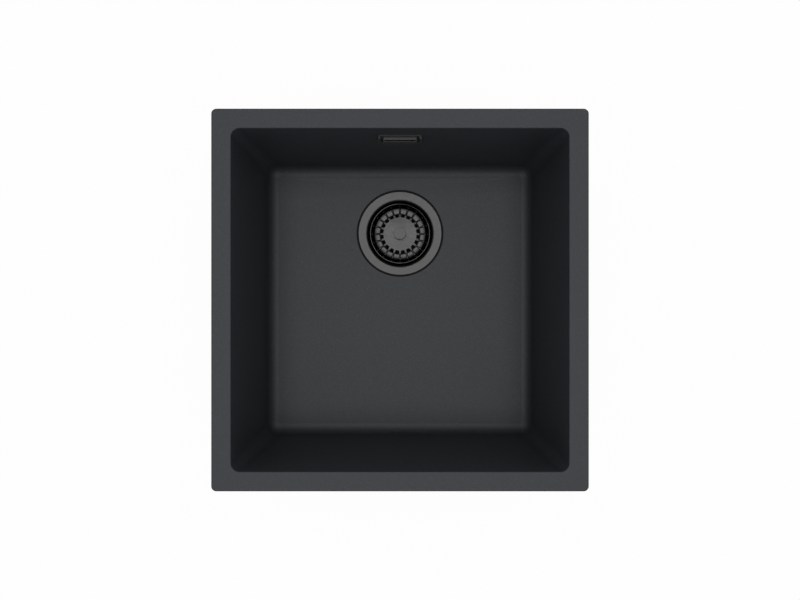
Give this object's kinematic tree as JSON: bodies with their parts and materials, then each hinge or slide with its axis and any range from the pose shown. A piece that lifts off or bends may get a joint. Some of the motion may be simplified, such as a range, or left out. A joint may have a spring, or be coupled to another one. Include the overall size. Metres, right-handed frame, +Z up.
{
  "type": "granite kitchen sink",
  "caption": "Square single-bowl inset kitchen sink in granite composite, with a basket strainer waste, rear overflow with ribbed hose, and swinging rim clamps.",
  "frame": {"origin": "centre of the rim's top face, in the middle of the bowl's opening", "axes": "+Z up out of the bowl, +Y to the rear wall that carries the overflow, +X to the right seen from the front"},
  "size_m": [0.44, 0.4571, 0.3],
  "materials": {
    "granite": "matt, fine granite grain",
    "steel": "dark gunmetal, finely brushed",
    "black_rubber": "matt",
    "waste_plastic": "moulded white",
    "nut_plastic": "moulded grey",
    "hose_plastic": "moulded light grey",
    "overflow_plastic": "moulded dark grey, close to the bowl's colour",
    "brass": "turned",
    "zinc_steel": "zinc plated"
  },
  "bodies": {
    "sink": {"bowl": "granite", "strainer_body": "steel", "strainer_seal": "black_rubber", "waste_seal": "black_rubber", "waste_body": "waste_plastic", "waste_screw": "steel", "waste_insert": "brass", "overflow_frame": "overflow_plastic", "overflow_seal": "black_rubber", "overflow_elbow": "waste_plastic", "overflow_screws": "zinc_steel", "hose_nut_upper": "nut_plastic", "hose_nut_lower": "nut_plastic", "hose_washer_upper": "black_rubber", "hose_washer_lower": "black_rubber", "overflow_hose": "hose_plastic", "rim_inserts": "brass", "clamp_bolts": "zinc_steel"},
    "basket": {"basket_cup": "steel", "basket_sieve": "steel", "basket_cap": "steel", "basket_button": "steel", "basket_seal": "black_rubber", "basket_nut": "steel"},
    "overflow_cover": {"overflow_plate": "overflow_plastic"},
    "clamp_1_arm": {"clamp_1": "zinc_steel"},
    "clamp_2_arm": {"clamp_2": "zinc_steel"},
    "clamp_3_arm": {"clamp_3": "zinc_steel"},
    "clamp_4_arm": {"clamp_4": "zinc_steel"},
    "clamp_5_arm": {"clamp_5": "zinc_steel"},
    "clamp_6_arm": {"clamp_6": "zinc_steel"},
    "clamp_7_arm": {"clamp_7": "zinc_steel"},
    "clamp_8_arm": {"clamp_8": "zinc_steel"}
  },
  "joints": [
    {"name": "basket_lift", "type": "slide", "parent": "sink", "child": "basket", "axis": [0, 0, 1], "range_m": [0, 0.25]},
    {"name": "overflow_cover_pull", "type": "slide", "parent": "sink", "child": "overflow_cover", "axis": [0, -0.9962, 0.0872], "range_m": [0, 0.025]},
    {"name": "clamp_1_swing", "type": "hinge", "parent": "sink", "child": "clamp_1_arm", "pos_m": [-0.209, -0.123, -0.0577], "axis": [0, 0, -1], "range_deg": [0, 90]},
    {"name": "clamp_2_swing", "type": "hinge", "parent": "sink", "child": "clamp_2_arm", "pos_m": [-0.12, -0.212, -0.0577], "axis": [0, 0, -1], "range_deg": [0, 90]},
    {"name": "clamp_3_swing", "type": "hinge", "parent": "sink", "child": "clamp_3_arm", "pos_m": [-0.209, 0.123, -0.0577], "axis": [0, 0, -1], "range_deg": [0, 90]},
    {"name": "clamp_4_swing", "type": "hinge", "parent": "sink", "child": "clamp_4_arm", "pos_m": [0.12, -0.212, -0.0577], "axis": [0, 0, -1], "range_deg": [0, 90]},
    {"name": "clamp_5_swing", "type": "hinge", "parent": "sink", "child": "clamp_5_arm", "pos_m": [0.209, -0.123, -0.0577], "axis": [0, 0, -1], "range_deg": [0, 90]},
    {"name": "clamp_6_swing", "type": "hinge", "parent": "sink", "child": "clamp_6_arm", "pos_m": [-0.12, 0.212, -0.0577], "axis": [0, 0, -1], "range_deg": [0, 90]},
    {"name": "clamp_7_swing", "type": "hinge", "parent": "sink", "child": "clamp_7_arm", "pos_m": [0.209, 0.123, -0.0577], "axis": [0, 0, -1], "range_deg": [0, 90]},
    {"name": "clamp_8_swing", "type": "hinge", "parent": "sink", "child": "clamp_8_arm", "pos_m": [0.12, 0.212, -0.0577], "axis": [0, 0, -1], "range_deg": [0, 90]}
  ]
}
